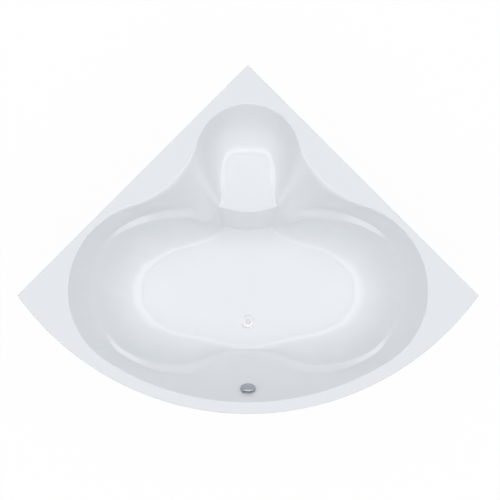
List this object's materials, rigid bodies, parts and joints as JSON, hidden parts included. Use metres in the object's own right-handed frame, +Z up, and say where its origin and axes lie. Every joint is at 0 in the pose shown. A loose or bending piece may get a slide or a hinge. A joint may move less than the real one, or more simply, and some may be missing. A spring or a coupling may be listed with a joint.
{
  "type": "corner bathtub",
  "caption": "Symmetric corner bathtub with a bowed front panel, moulded corner seat and arm ledges, screw feet, and a pop-up waste worked by a turning overflow knob.",
  "frame": {"origin": "on the floor under the middle of the plan's bounding box", "axes": "+X across the room corner, to the bather's right as seen from the room, +Y from the bowed front towards the back corner, +Z up"},
  "size_m": [2.1214, 1.6048, 0.62],
  "materials": {
    "acrylic": "gloss, thermoformed sanitary acrylic",
    "chipboard": "raw chipboard",
    "frame_paint": "satin powder coat",
    "zinc": "zinc-plated",
    "black_plastic": "matt moulded",
    "drain_plastic": "satin moulded polypropylene",
    "hose_plastic": "satin",
    "rubber": "matt",
    "chrome": "polished chrome plate",
    "collar_plastic": "satin moulded"
  },
  "bodies": {
    "tub": {"bath_shell": "acrylic", "front_panel": "acrylic", "base_board": "chipboard", "seat_board": "chipboard", "front_rail": "frame_paint", "back_rail": "frame_paint", "spine_rail": "frame_paint", "tie_left": "frame_paint", "tie_right": "frame_paint", "arm_left": "frame_paint", "arm_right": "frame_paint", "side_arm_left": "frame_paint", "side_arm_right": "frame_paint", "corner_post": "frame_paint", "side_post_left": "frame_paint", "side_post_right": "frame_paint", "front_post_left": "frame_paint", "front_post_right": "frame_paint", "seat_post": "frame_paint", "weld_nuts": "zinc", "lock_nuts": "zinc", "post_caps": "black_plastic", "panel_clips": "black_plastic", "waste_housing": "drain_plastic", "trap_body": "drain_plastic", "trap_cup": "drain_plastic", "trap_union": "drain_plastic", "outlet_tube": "drain_plastic", "outlet_union": "drain_plastic", "overflow_housing": "drain_plastic", "overflow_hose": "hose_plastic", "gaskets": "rubber", "waste_flange": "chrome", "overflow_collar": "collar_plastic"},
    "foot_corner": {"foot_rod_corner": "zinc", "foot_pad_corner": "black_plastic"},
    "foot_left": {"foot_rod_left": "zinc", "foot_pad_left": "black_plastic"},
    "foot_right": {"foot_rod_right": "zinc", "foot_pad_right": "black_plastic"},
    "foot_front_left": {"foot_rod_front_left": "zinc", "foot_pad_front_left": "black_plastic"},
    "foot_front_right": {"foot_rod_front_right": "zinc", "foot_pad_front_right": "black_plastic"},
    "plug": {"plug_cover": "chrome", "plug_seal": "rubber", "plug_stem": "drain_plastic"},
    "knob": {"overflow_knob": "chrome", "knob_spindle": "collar_plastic"}
  },
  "joints": [
    {"name": "foot_corner_screw", "type": "slide", "parent": "tub", "child": "foot_corner", "axis": [0, 0, -1], "range_m": [-0.015, 0.025]},
    {"name": "foot_left_screw", "type": "slide", "parent": "tub", "child": "foot_left", "axis": [0, 0, -1], "range_m": [-0.015, 0.025]},
    {"name": "foot_right_screw", "type": "slide", "parent": "tub", "child": "foot_right", "axis": [0, 0, -1], "range_m": [-0.015, 0.025]},
    {"name": "foot_front_left_screw", "type": "slide", "parent": "tub", "child": "foot_front_left", "axis": [0, 0, -1], "range_m": [-0.015, 0.025]},
    {"name": "foot_front_right_screw", "type": "slide", "parent": "tub", "child": "foot_front_right", "axis": [0, 0, -1], "range_m": [-0.015, 0.025]},
    {"name": "knob_turn", "type": "hinge", "parent": "tub", "child": "knob", "pos_m": [0, -0.69545, 0.52], "axis": [0, 0.8797, 0.4755], "range_deg": [0, 90]},
    {"name": "plug_lift", "type": "slide", "parent": "tub", "child": "plug", "axis": [0, 0, 1], "range_m": [0, 0.01]}
  ],
  "couplings": [
    {"joint": "plug_lift", "follows": "knob_turn", "m_per_rad": 0.0063}
  ]
}
